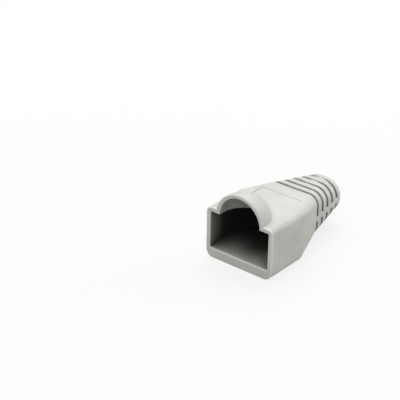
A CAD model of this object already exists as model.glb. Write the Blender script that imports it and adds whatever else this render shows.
import math

import bmesh
import bpy
from mathutils import Matrix, Vector


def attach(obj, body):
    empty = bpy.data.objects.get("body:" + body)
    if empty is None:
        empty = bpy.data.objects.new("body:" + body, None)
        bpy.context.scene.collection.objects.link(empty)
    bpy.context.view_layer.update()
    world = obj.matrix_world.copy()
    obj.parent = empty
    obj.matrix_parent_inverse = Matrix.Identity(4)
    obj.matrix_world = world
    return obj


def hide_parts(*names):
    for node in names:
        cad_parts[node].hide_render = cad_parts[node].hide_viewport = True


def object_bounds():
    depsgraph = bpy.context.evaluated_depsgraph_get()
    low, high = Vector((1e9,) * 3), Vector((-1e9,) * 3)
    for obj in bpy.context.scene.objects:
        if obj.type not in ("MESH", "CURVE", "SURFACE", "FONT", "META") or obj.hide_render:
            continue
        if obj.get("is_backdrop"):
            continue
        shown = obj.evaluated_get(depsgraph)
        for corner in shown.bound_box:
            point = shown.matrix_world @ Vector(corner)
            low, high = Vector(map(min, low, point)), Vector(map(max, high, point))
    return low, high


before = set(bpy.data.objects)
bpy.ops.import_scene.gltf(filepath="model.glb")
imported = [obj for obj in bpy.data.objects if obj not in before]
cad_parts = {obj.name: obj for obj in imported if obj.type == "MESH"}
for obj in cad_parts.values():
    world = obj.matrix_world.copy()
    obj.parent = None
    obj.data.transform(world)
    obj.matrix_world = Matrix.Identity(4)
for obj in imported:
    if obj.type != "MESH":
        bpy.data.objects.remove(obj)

bl_info = {
    "name": "Patch Cord Boot",
    "version": (1, 0, 0),
    "blender": (4, 5, 0),
    "location": "3D View > Sidebar > Boot",
    "description": "Finishes the moulded strain relief boot of a patch cord and sets up its studio",
    "category": "Object",
}

MM = 0.001
NODE = "boot"
CAD_LOW, CAD_HIGH = (corner.copy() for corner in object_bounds())
WHITE = (1.0, 1.0, 1.0, 1.0)
# How near two points of the mesh have to be to count as one place, and to be made one point.
TOUCH = 0.002 * MM
WELD = TOUCH / 10
# Faces that meet at less than this, in degrees, count as one flat face.
FLAT = 0.3
# Least turn, in degrees, of the edges that are rounded, and of those round the mouth.
SHARP_EDGE, LIP_EDGE = 40.0, 30.0
# Least turn, in degrees, of a crease that stays sharp in the shading.
CREASE = 35.0

# The moulding's skins, in the order of its materials.
SKINS = ("outside", "inside", "rubbed", "flanks")
# A face looks straight out of the mouth where its normal's y is below this.
FACES_MOUTH = -0.95
# A wall's normal has less than this along the cord's axis.
WALL_LEAN = 0.5
# A flank of the inside leans sideways by more than this, and ends this far below the sleeve's top.
FLANK_LEAN, FLANK_DROP = 0.3, 0.8 * MM
# The sunk panels lie further than this from the cord's axis, and from the mouth.
PANEL_HEIGHT, PANEL_START = 4.0 * MM, 8.0 * MM
# Below the first height a slot is shaded as one at the side, and above the second as one on top.
SIDE_SLOTS, TOP_SLOTS = 1.0 * MM, 3.2 * MM
# Nearly all values of a noise texture lie between these.
NOISE_LOW, NOISE_HIGH = 0.3, 0.7
# How far the low and the high parts of the grain move the roughness.
GRAIN_DOWN, GRAIN_UP = 0.05, 0.07

# The parting line's pieces: the start of each, from the mouth, and its height.
SEAMS = ((1.4 * MM, -0.6 * MM), (5.75 * MM, -0.3 * MM))
# The mould's pin left its hole in the web on the right, behind the second slot.
PIN_HOLE = Vector((4.6, -6.62, 0.3)) * MM
HOLE_SIDES = 20

# Half of the floor's side, in metres.
FLOOR_HALF = 3.0
# Size of the paper's fibres as they are drawn, and the share of its tone that the darker ones keep.
FIBRE_SIZE, FIBRE_TONE = 30 * MM, 0.985
# The paper's tone begins to fade to plain white at the first distance and ends at the second.
FADE_START, FADE_END = 30 * MM, 130 * MM
# Each lamp's name, the value that holds its power, its place from the boot's middle, and its size.
LAMPS = (
    ("Key_lamp", "key", (-110.0, 195.0, 390.0), 300.0),
    ("Side_lamp", "side", (-240.0, 0.0, 380.0), 300.0),
    ("Front_lamp", "front", (60.0, -300.0, 330.0), 240.0),
    ("Back_lamp", "back", (225.0, 390.0, 80.0), 260.0),
    ("Edge_lamp", "edge", (300.0, -330.0, 150.0), 120.0),
)
# Width of the camera's sensor in millimetres, and the range in metres in which it sees.
SENSOR = 36.0
NEAR, FAR = 0.005, 20.0


def linear(code):
    """Scene linear red, green and blue of an sRGB colour written as #rrggbb."""
    channels = [int(code[i : i + 2], 16) / 255 for i in (1, 3, 5)]
    return tuple(
        c / 12.92 if c <= 0.04045 else ((c + 0.055) / 1.055) ** 2.4 for c in channels
    )


def length(name, millimetres, description):
    """A length property, kept in metres."""
    return bpy.props.FloatProperty(
        name=name,
        description=description,
        default=millimetres * MM,
        min=0.0,
        unit="LENGTH",
        subtype="DISTANCE",
        precision=5,
    )


def colour(name, code, description):
    """A colour property, written as an sRGB hex value."""
    return bpy.props.FloatVectorProperty(
        name=name, description=description, default=linear(code), min=0.0, max=1.0, subtype="COLOR"
    )


def degrees(name, value, description):
    """An angle property, written in degrees."""
    return bpy.props.FloatProperty(
        name=name, description=description, default=math.radians(value), subtype="ANGLE"
    )


def number(name, value, description, low=0.0, high=1.0):
    """A plain number property."""
    return bpy.props.FloatProperty(
        name=name, description=description, default=value, min=low, max=high
    )


def count(name, value, description):
    """A small whole number property."""
    return bpy.props.IntProperty(name=name, description=description, default=value, min=1, max=6)


class BootShape(bpy.types.PropertyGroup):
    """Sizes of the soft edges and the mould marks."""

    tail_length: length("Tail length", 9.75, "From the first slot's front wall to the tail's end")
    slots_length: length("Slots length", 8.44, "From the first slot's front to the last one's back")
    ring_round: length("Ring edge", 0.14, "Radius of the soft edges of the tail's rings")
    sleeve_top: length("Sleeve top", 4.44, "Height of the sleeve's top above the cord's axis")
    lip_break: length("Lip break", 0.14, "Size of the break inside the mouth's edge")
    lip_depth: length("Lip depth", 0.45, "How far the rubbed edges reach from the mouth")
    lip_round: length("Lip edge", 0.09, "Radius of the soft edges inside the mouth's lip")
    bore_round: length("Bore edge", 0.12, "Radius of the soft edge where the cord leaves")
    panel_round: length("Panel edge", 0.05, "Radius of the soft edges of the sunk panels")
    edge_steps: count("Edge steps", 3, "Faces across each soft edge")
    panel_steps: count("Panel steps", 2, "Faces across each soft edge of the sunk panels")
    seam_width: length("Seam width", 0.17, "Width of the parting line on the sleeve's sides")
    seam_depth: length("Seam depth", 0.07, "Depth of the parting line")
    seam_length: length("Seam length", 2.5, "Length of each piece of the parting line that shows")
    vent_width: length("Vent width", 0.3, "Width of the small hole that the mould's pin leaves")
    vent_depth: length("Vent depth", 0.45, "Depth of the small hole that the mould's pin leaves")


class BootFinish(bpy.types.PropertyGroup):
    """Colours and grain of the moulded soft PVC."""

    body: colour("Body", "#dcddd6", "Colour of the soft PVC")
    pale: colour("Pale flow", "#e3e4de", "Colour where the melt met and left more filler")
    dull: colour("Dull flow", "#d2d3cb", "Colour where the melt flowed longest")
    roughness: number("Roughness", 0.5, "Roughness of the moulded skin")
    flow_size: length("Flow marks", 5.0, "Size of the cloudy marks that the melt's flow leaves")
    grain_size: length("Mould grain", 0.3, "Size of the spark-eroded grain on the mould")
    grain_depth: length("Grain depth", 0.012, "Depth of the spark-eroded grain")
    rubbed: colour("Rubbed edge", "#f1f2ed", "Colour of the edges that handling has rubbed")
    slot_reach: length("Slot reach", 1.6, "How far away a wall still shades a slot")
    slot_shut: number("Slot shut", 0.1, "Openness at which a slot is shaded in full")
    slot_shade: number("Slot shade", 0.34, "Share of the colour that is left deep in a slot")
    top_shade: number("Top slot shade", 0.62, "The same share for the slots on top")
    room_reach: length("Room reach", 9.8, "How far away a wall still shades the inside")
    room_shut: number("Room shut", 0.22, "Openness at which the inside is shaded in full")
    flank_reach: length("Flank reach", 13.0, "How far away a wall still shades the flanks")
    flank_shut: number("Flank shut", 0.28, "Openness at which the flanks are shaded in full")
    room_shade: number("Room shade", 0.03, "Share of the colour that is left deep inside")
    unshaded: number("Unshaded", 0.9, "Openness from which nothing is shaded")


class BootStudio(bpy.types.PropertyGroup):
    """Camera, lamps and floor."""

    azimuth: degrees("Azimuth", 39.39, "The camera's angle round the boot, from the mouth's side")
    elevation: degrees("Elevation", 27.55, "The camera's angle above the floor")
    roll: degrees("Roll", 0.9, "The camera's turn about its own line of sight")
    distance: length("Distance", 230.0, "From the camera to the point that it looks at")
    lens: number("Lens", 112.5, "Focal length of the camera in millimetres", 1.0, 500.0)
    aim: bpy.props.FloatVectorProperty(
        name="Aim",
        description="The point that the camera looks at",
        default=(-0.02191, -0.00771, -0.00632),
        subtype="XYZ",
        unit="LENGTH",
    )
    floor: colour("Floor", "#f7f7f5", "Colour of the floor")
    floor_bounce: colour("Floor bounce", "#b8b8b6", "Colour of the light that the floor sends back")
    floor_white: number("Floor white", 0.8, "How much of the floor's look is plain white paper")
    world: number("World", 0.5, "Strength of the light from all round", 0.0, 5.0)
    key: number("Key lamp", 0.78, "Power of the soft box above and behind, in watts", 0.0, 50.0)
    side: number("Side lamp", 0.32, "Power of the soft box on the left, in watts", 0.0, 50.0)
    front: number("Front lamp", 0.15, "Power of the soft box in front, in watts", 0.0, 50.0)
    back: number("Back lamp", 0.5, "Power of the soft box behind on the right, in watts", 0.0, 50.0)
    edge: number("Edge lamp", 0.06, "Power of the small lamp on the right, in watts", 0.0, 50.0)


def add_node(tree, kind, settings=(), inputs=()):
    """Adds a node. An input is either a number or colour, or another node's output."""
    node = tree.nodes.new(kind)
    for name, value in dict(settings).items():
        setattr(node, name, value)
    for name, value in dict(inputs).items():
        if isinstance(value, bpy.types.NodeSocket):
            tree.links.new(value, node.inputs[name])
        else:
            node.inputs[name].default_value = value
    return node


def empty_material(name):
    """A material with an empty node tree and its output node."""
    material = bpy.data.materials.new(name)
    material.use_nodes = True
    tree = material.node_tree
    tree.nodes.clear()
    return material, tree, add_node(tree, "ShaderNodeOutputMaterial")


def moulded_soft_pvc(finish, name, tones, reach, shut, shade, top_shade):
    """Injection moulded soft PVC, from a spark-eroded mould.

    It gives the eye an even, slightly warm light grey with a satin skin: broad dull highlights, a
    very fine pebbled grain, and faint clouds where the melt flowed. The three tones are those of
    the clouds, and the shades are what is left of them where walls within reach shut a place in.
    """
    material, tree, output = empty_material(name)
    place = add_node(tree, "ShaderNodeTexCoord").outputs["Object"]
    flow = add_node(
        tree,
        "ShaderNodeTexNoise",
        inputs={"Vector": place, "Scale": 1 / finish.flow_size, "Detail": 3.0, "Roughness": 0.55},
    )
    clouds = add_node(tree, "ShaderNodeValToRGB", inputs={"Fac": flow.outputs["Fac"]})
    ramp = clouds.color_ramp
    dull, middle, pale = tones
    ramp.elements[0].position, ramp.elements[0].color = NOISE_LOW, (*dull, 1.0)
    ramp.elements[1].position, ramp.elements[1].color = NOISE_HIGH, (*pale, 1.0)
    ramp.elements.new(0.5).color = (*middle, 1.0)
    # Walls that face each other in a narrow place pass on less and less light, so the colour
    # deepens there.
    openness = add_node(
        tree, "ShaderNodeAmbientOcclusion", {"only_local": True, "samples": 16}, {"Distance": reach}
    )
    # A narrow place on top sees more of the sky than one at a side, and stays paler.
    height = add_node(tree, "ShaderNodeSeparateXYZ", inputs={"Vector": place}).outputs["Z"]
    least = add_node(
        tree,
        "ShaderNodeMapRange",
        inputs={
            "Value": height,
            "From Min": SIDE_SLOTS,
            "From Max": TOP_SLOTS,
            "To Min": shade,
            "To Max": top_shade,
        },
    )
    share = add_node(
        tree,
        "ShaderNodeMapRange",
        {"interpolation_type": "SMOOTHSTEP"},
        {
            "Value": openness.outputs["AO"],
            "From Min": shut,
            "From Max": finish.unshaded,
            "To Min": least.outputs["Result"],
            "To Max": 1.0,
        },
    )
    tone = add_node(
        tree,
        "ShaderNodeMix",
        {"data_type": "RGBA", "blend_type": "MULTIPLY"},
        {0: 1.0, 6: clouds.outputs["Color"], 7: share.outputs["Result"]},
    )
    # The mould's real grain is about 0.05 mm, too fine to show, so it is drawn coarser.
    grain = add_node(
        tree,
        "ShaderNodeTexNoise",
        inputs={"Vector": place, "Scale": 1 / finish.grain_size, "Detail": 2.0, "Roughness": 0.6},
    )
    skin = add_node(
        tree,
        "ShaderNodeMapRange",
        inputs={
            "Value": grain.outputs["Fac"],
            "From Min": NOISE_LOW,
            "From Max": NOISE_HIGH,
            "To Min": finish.roughness - GRAIN_DOWN,
            "To Max": finish.roughness + GRAIN_UP,
        },
    )
    pebbles = add_node(
        tree,
        "ShaderNodeBump",
        inputs={"Height": grain.outputs["Fac"], "Strength": 0.5, "Distance": finish.grain_depth},
    )
    shader = add_node(
        tree,
        "ShaderNodeBsdfPrincipled",
        inputs={
            "Base Color": tone.outputs[2],
            "Roughness": skin.outputs["Result"],
            "Normal": pebbles.outputs["Normal"],
            "IOR": 1.53,
            "Specular IOR Level": 0.4,
        },
    )
    tree.links.new(shader.outputs["BSDF"], output.inputs["Surface"])
    return material


def pvc_finishes(finish):
    """The skins of the one moulding, in the order of SKINS."""
    tones = (tuple(finish.dull), tuple(finish.body), tuple(finish.pale))
    rubbed = (tuple(finish.pale), tuple(finish.rubbed), tuple(finish.rubbed))
    slots = (finish.slot_reach, finish.slot_shut, finish.slot_shade, finish.top_shade)
    room = (finish.room_reach, finish.room_shut, finish.room_shade, finish.room_shade)
    flanks = (finish.flank_reach, finish.flank_shut, finish.room_shade, finish.room_shade)
    return [
        moulded_soft_pvc(finish, "Moulded soft PVC", tones, *slots),
        moulded_soft_pvc(finish, "Moulded soft PVC core side", tones, *room),
        moulded_soft_pvc(finish, "Moulded soft PVC rubbed edge", rubbed, *slots),
        moulded_soft_pvc(finish, "Moulded soft PVC core flank", tones, *flanks),
    ]


def studio_floor(studio):
    """Matt white paper sweep. It gives the eye a white ground that takes the boot's shadow."""
    material, tree, output = empty_material("Matt paper floor")
    seen = add_node(tree, "ShaderNodeLightPath").outputs["Is Camera Ray"]
    place = add_node(tree, "ShaderNodeTexCoord").outputs["Object"]
    # Paper fibres are too fine to show, so a slow, faint change of tone stands for them.
    fibres = add_node(
        tree, "ShaderNodeTexNoise", inputs={"Vector": place, "Scale": 1 / FIBRE_SIZE, "Detail": 2.0}
    )
    darker = [channel * FIBRE_TONE for channel in studio.floor]
    tone = add_node(
        tree,
        "ShaderNodeMix",
        {"data_type": "RGBA"},
        {0: fibres.outputs["Fac"], 6: (*studio.floor, 1.0), 7: (*darker, 1.0)},
    )
    shown = add_node(
        tree,
        "ShaderNodeMix",
        {"data_type": "RGBA"},
        {0: seen, 6: (*studio.floor_bounce, 1.0), 7: tone.outputs[2]},
    )
    paper = add_node(tree, "ShaderNodeBsdfDiffuse", inputs={"Color": shown.outputs[2]})
    white = add_node(tree, "ShaderNodeEmission", inputs={"Color": WHITE, "Strength": 1.0})
    # Further out the paper is blown out to plain white, so that no edge of it shows.
    away = add_node(tree, "ShaderNodeVectorMath", {"operation": "LENGTH"}, {0: place})
    whiteness = add_node(
        tree,
        "ShaderNodeMapRange",
        {"interpolation_type": "SMOOTHSTEP"},
        {
            "Value": away.outputs["Value"],
            "From Min": FADE_START,
            "From Max": FADE_END,
            "To Min": studio.floor_white,
            "To Max": 1.0,
        },
    )
    share = add_node(
        tree, "ShaderNodeMath", {"operation": "MULTIPLY"}, {0: seen, 1: whiteness.outputs["Result"]}
    )
    look = add_node(
        tree,
        "ShaderNodeMixShader",
        inputs={0: share.outputs[0], 1: paper.outputs[0], 2: white.outputs[0]},
    )
    tree.links.new(look.outputs[0], output.inputs["Surface"])
    return material


def bevel_edges(mesh, edges, radius, steps, skin=-1):
    """Rounds some of a mesh's edges, and gives the new faces their skin."""
    bmesh.ops.bevel(
        mesh,
        geom=list(edges),
        offset=radius,
        offset_type="OFFSET",
        segments=steps,
        profile=0.5,
        affect="EDGES",
        clamp_overlap=True,
        material=skin,
    )


def outer_edges(mesh, least_angle, where):
    """The mesh's convex edges that turn by at least an angle and lie where a test says."""
    return [
        edge
        for edge in mesh.edges
        if len(edge.link_faces) == 2
        and edge.calc_face_angle_signed(0.0) > math.radians(least_angle)
        and all(where(vertex.co) for vertex in edge.verts)
    ]


def mark_skins(mesh, shape):
    """Tells the inside, its flanks and the rubbed edges of the mouth from the other faces."""
    end, mouth = CAD_HIGH.y, CAD_LOW.y
    band_end = Vector((0.0, mouth + shape.lip_depth, 0.0))
    everything = [*mesh.verts, *mesh.edges, *mesh.faces]
    bmesh.ops.bisect_plane(mesh, geom=everything, plane_co=band_end, plane_no=(0.0, 1.0, 0.0))
    for face in mesh.faces:
        middle = face.calc_center_median()
        depth = shape.lip_depth if middle.z < shape.sleeve_top + TOUCH else shape.lip_break
        rubbed = middle.y < mouth + depth and face.normal.y > FACES_MOUTH
        face.material_index = SKINS.index("rubbed" if rubbed else "outside")
    # The inside spreads from the bore's wall to the back of the lip and to the bore's end.
    limits = (mouth + shape.lip_break, end)
    walls = [face for face in mesh.faces if abs(face.normal.y) < WALL_LEAN]
    inside = [min(walls, key=lambda face: face.calc_center_median().xz.length)]
    for face in inside:
        if face.material_index == SKINS.index("inside"):
            continue
        face.material_index = SKINS.index("inside")
        for edge in face.edges:
            if any(all(abs(v.co.y - limit) < TOUCH for v in edge.verts) for limit in limits):
                continue
            inside.extend(other for other in edge.link_faces if other != face)
    # The flanks see less of the opening above them, so they are shaded deeper than the floor.
    flank_top = shape.sleeve_top - FLANK_DROP
    for face in inside:
        if abs(face.normal.x) > FLANK_LEAN and face.calc_center_median().z < flank_top:
            face.material_index = SKINS.index("flanks")


def softened_boot(shape):
    """A copy of the boot's solid with the soft edges that moulding leaves."""
    mesh = bmesh.new()
    mesh.from_mesh(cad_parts[NODE].data)
    bmesh.ops.remove_doubles(mesh, verts=mesh.verts, dist=WELD)
    bmesh.ops.dissolve_limit(
        mesh, angle_limit=math.radians(FLAT), verts=mesh.verts, edges=mesh.edges
    )
    end, mouth = CAD_HIGH.y, CAD_LOW.y
    mark_skins(mesh, shape)
    first = end - shape.tail_length - TOUCH
    last = end - shape.tail_length + shape.slots_length + TOUCH
    rings = outer_edges(mesh, SHARP_EDGE, lambda p: first < p.y < last)
    bevel_edges(mesh, rings, shape.ring_round, shape.edge_steps, SKINS.index("rubbed"))
    lip = outer_edges(mesh, LIP_EDGE, lambda p: p.y < mouth + shape.lip_break + TOUCH)
    bevel_edges(mesh, lip, shape.lip_round, shape.edge_steps, SKINS.index("rubbed"))
    bore = outer_edges(mesh, SHARP_EDGE, lambda p: p.y > end - TOUCH)
    bevel_edges(mesh, bore, shape.bore_round, shape.edge_steps)
    front = mouth + PANEL_START
    panels = outer_edges(
        mesh, SHARP_EDGE, lambda p: abs(p.z) > PANEL_HEIGHT and front < p.y < first
    )
    bevel_edges(mesh, panels, shape.panel_round, shape.panel_steps)
    data = bpy.data.meshes.new("Boot_moulding")
    mesh.to_mesh(data)
    mesh.free()
    return data


def add_seam(mesh, shape, side, front, height):
    """A thin wedge along the sleeve's side, for cutting one piece of the parting line."""
    half = shape.seam_width / 2
    wall = side * CAD_HIGH.x
    outer, inner = wall + side * half, wall - side * shape.seam_depth
    section = ((outer, half), (inner, 0.0), (outer, -half))
    ends = [
        [mesh.verts.new((x, y, height + z)) for x, z in section]
        for y in (front, front + shape.seam_length)
    ]
    for i in range(3):
        mesh.faces.new((ends[0][i], ends[0][i - 1], ends[1][i - 1], ends[1][i]))
    mesh.faces.new(ends[0])
    mesh.faces.new(reversed(ends[1]))


def mould_marks(shape):
    """The tool that cuts the mould's small marks: the parting line and the pin's hole."""
    mesh = bmesh.new()
    for side in (1, -1):
        for start, height in SEAMS:
            add_seam(mesh, shape, side, CAD_LOW.y + start, height)
    bmesh.ops.create_cone(
        mesh,
        cap_ends=True,
        segments=HOLE_SIDES,
        radius1=shape.vent_width / 2,
        radius2=shape.vent_width / 2,
        depth=2 * shape.vent_depth,
        matrix=Matrix.Translation(PIN_HOLE) @ Matrix.Rotation(math.radians(90.0), 4, "Y"),
    )
    bmesh.ops.recalc_face_normals(mesh, faces=mesh.faces)
    data = bpy.data.meshes.new("Mould_marks")
    mesh.to_mesh(data)
    mesh.free()
    return data


def cut(piece, tool):
    """Cuts a mesh out of a piece for good."""
    cutter = bpy.data.objects.new("Cutter", tool)
    bpy.context.scene.collection.objects.link(cutter)
    difference = piece.modifiers.new("Marks", "BOOLEAN")
    difference.operation, difference.solver, difference.object = "DIFFERENCE", "EXACT", cutter
    whole = len(piece.data.polygons)
    graph = bpy.context.evaluated_depsgraph_get()
    shape = bpy.data.meshes.new_from_object(piece.evaluated_get(graph))
    if len(shape.polygons) <= whole:
        raise RuntimeError("The mould's marks missed the boot")
    piece.modifiers.remove(difference)
    piece.data = shape
    bpy.data.objects.remove(cutter)


def finish_piece(piece):
    """Gives a piece smooth shading that keeps its creases, and ties it to the part."""
    mesh = bmesh.new()
    mesh.from_mesh(piece.data)
    for face in mesh.faces:
        face.smooth = True
    for edge in mesh.edges:
        edge.smooth = edge.calc_face_angle(math.pi) < math.radians(CREASE)
    mesh.to_mesh(piece.data)
    mesh.free()
    # The normals that came with the solid don't fit its new edges.
    stale = piece.data.attributes.get("custom_normal")
    if stale:
        piece.data.attributes.remove(stale)
    weighted = piece.modifiers.new("Even shading", "WEIGHTED_NORMAL")
    weighted.keep_sharp = True
    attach(piece, "root")


class BOOT_OT_moulding(bpy.types.Operator):
    """Build the boot's one moulding with its soft edges"""

    bl_idname = "boot.moulding"
    bl_label = "Moulding"

    def execute(self, context):
        shape = context.scene.boot_shape
        piece = bpy.data.objects.new("Boot_moulding", softened_boot(shape))
        context.scene.collection.objects.link(piece)
        for material in pvc_finishes(context.scene.boot_finish):
            piece.data.materials.append(material)
        cut(piece, mould_marks(shape))
        finish_piece(piece)
        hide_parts(NODE)
        return {"FINISHED"}


class BOOT_OT_stage(bpy.types.Operator):
    """Set up the floor, the lamps and the camera"""

    bl_idname = "boot.stage"
    bl_label = "Stage"

    def execute(self, context):
        scene, studio = context.scene, context.scene.boot_studio
        scene.view_settings.view_transform = "Standard"
        add_floor(scene, studio)
        light_world(scene, studio)
        centre = (CAD_LOW + CAD_HIGH) / 2
        for name, power, offset, size in LAMPS:
            add_lamp(scene, name, centre, offset, size, getattr(studio, power))
        add_camera(scene, studio)
        return {"FINISHED"}


def add_floor(scene, studio):
    """A flat floor under the boot."""
    mesh = bmesh.new()
    bmesh.ops.create_grid(mesh, x_segments=1, y_segments=1, size=FLOOR_HALF)
    data = bpy.data.meshes.new("Floor")
    mesh.to_mesh(data)
    mesh.free()
    floor = bpy.data.objects.new("Floor", data)
    floor.location = (CAD_LOW + CAD_HIGH) / 2
    floor.location.z = CAD_LOW.z
    floor.data.materials.append(studio_floor(studio))
    scene.collection.objects.link(floor)
    floor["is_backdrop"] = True


def light_world(scene, studio):
    """Even light from all round, which the camera sees as white."""
    world = bpy.data.worlds.new("Studio")
    world.use_nodes = True
    tree = world.node_tree
    tree.nodes.clear()
    light_path = add_node(tree, "ShaderNodeLightPath").outputs["Is Camera Ray"]
    light = add_node(
        tree, "ShaderNodeBackground", inputs={"Color": WHITE, "Strength": studio.world}
    )
    white = add_node(tree, "ShaderNodeBackground", inputs={"Color": WHITE, "Strength": 1.0})
    look = add_node(
        tree,
        "ShaderNodeMixShader",
        inputs={0: light_path, 1: light.outputs[0], 2: white.outputs[0]},
    )
    add_node(tree, "ShaderNodeOutputWorld", inputs={"Surface": look.outputs[0]})
    scene.world = world


def add_lamp(scene, name, centre, offset, size, power):
    """A square soft box, turned to the boot. Its place and size are in millimetres."""
    lamp = bpy.data.lights.new(name, "AREA")
    lamp.shape, lamp.size, lamp.energy = "SQUARE", size * MM, power
    box = bpy.data.objects.new(name, lamp)
    box.location = centre + Vector(offset) * MM
    box.rotation_euler = (centre - box.location).to_track_quat("-Z", "Y").to_euler()
    scene.collection.objects.link(box)


def add_camera(scene, studio):
    """The camera, placed by its angles round the point that it looks at."""
    lens = bpy.data.cameras.new("Camera")
    lens.lens, lens.sensor_width = studio.lens, SENSOR
    lens.clip_start, lens.clip_end = NEAR, FAR
    camera = bpy.data.objects.new("Camera", lens)
    around, above = studio.azimuth, studio.elevation
    back = Vector(
        (math.sin(around) * math.cos(above), -math.cos(around) * math.cos(above), math.sin(above))
    )
    turn = back.to_track_quat("Z", "Y").to_matrix() @ Matrix.Rotation(studio.roll, 3, "Z")
    camera.matrix_world = Matrix.LocRotScale(
        Vector(studio.aim) + back * studio.distance, turn.to_quaternion(), None
    )
    scene.collection.objects.link(camera)
    scene.camera = camera


class BOOT_PT_panel(bpy.types.Panel):
    """The boot's steps and values"""

    bl_label = "Patch Cord Boot"
    bl_space_type = "VIEW_3D"
    bl_region_type = "UI"
    bl_category = "Boot"

    def draw(self, context):
        layout = self.layout
        for step in STEPS:
            layout.operator(step.bl_idname)
        for kind in GROUPS:
            group = getattr(context.scene, kind)
            box = layout.box()
            for name in group.bl_rna.properties.keys():
                if name not in ("rna_type", "name"):
                    box.prop(group, name)


STEPS = (BOOT_OT_moulding, BOOT_OT_stage)
GROUPS = {"boot_shape": BootShape, "boot_finish": BootFinish, "boot_studio": BootStudio}


def register():
    """Registers the classes and puts the values on the scene."""
    for kind in (*GROUPS.values(), *STEPS, BOOT_PT_panel):
        bpy.utils.register_class(kind)
    for name, group in GROUPS.items():
        setattr(bpy.types.Scene, name, bpy.props.PointerProperty(type=group))


def unregister():
    """Takes the values off the scene and unregisters the classes."""
    for name in GROUPS:
        delattr(bpy.types.Scene, name)
    for kind in (BOOT_PT_panel, *reversed(STEPS), *GROUPS.values()):
        bpy.utils.unregister_class(kind)


def main():
    """Builds the boot and its studio."""
    register()
    bpy.ops.boot.moulding()
    bpy.ops.boot.stage()


if __name__ == "__main__":
    main()
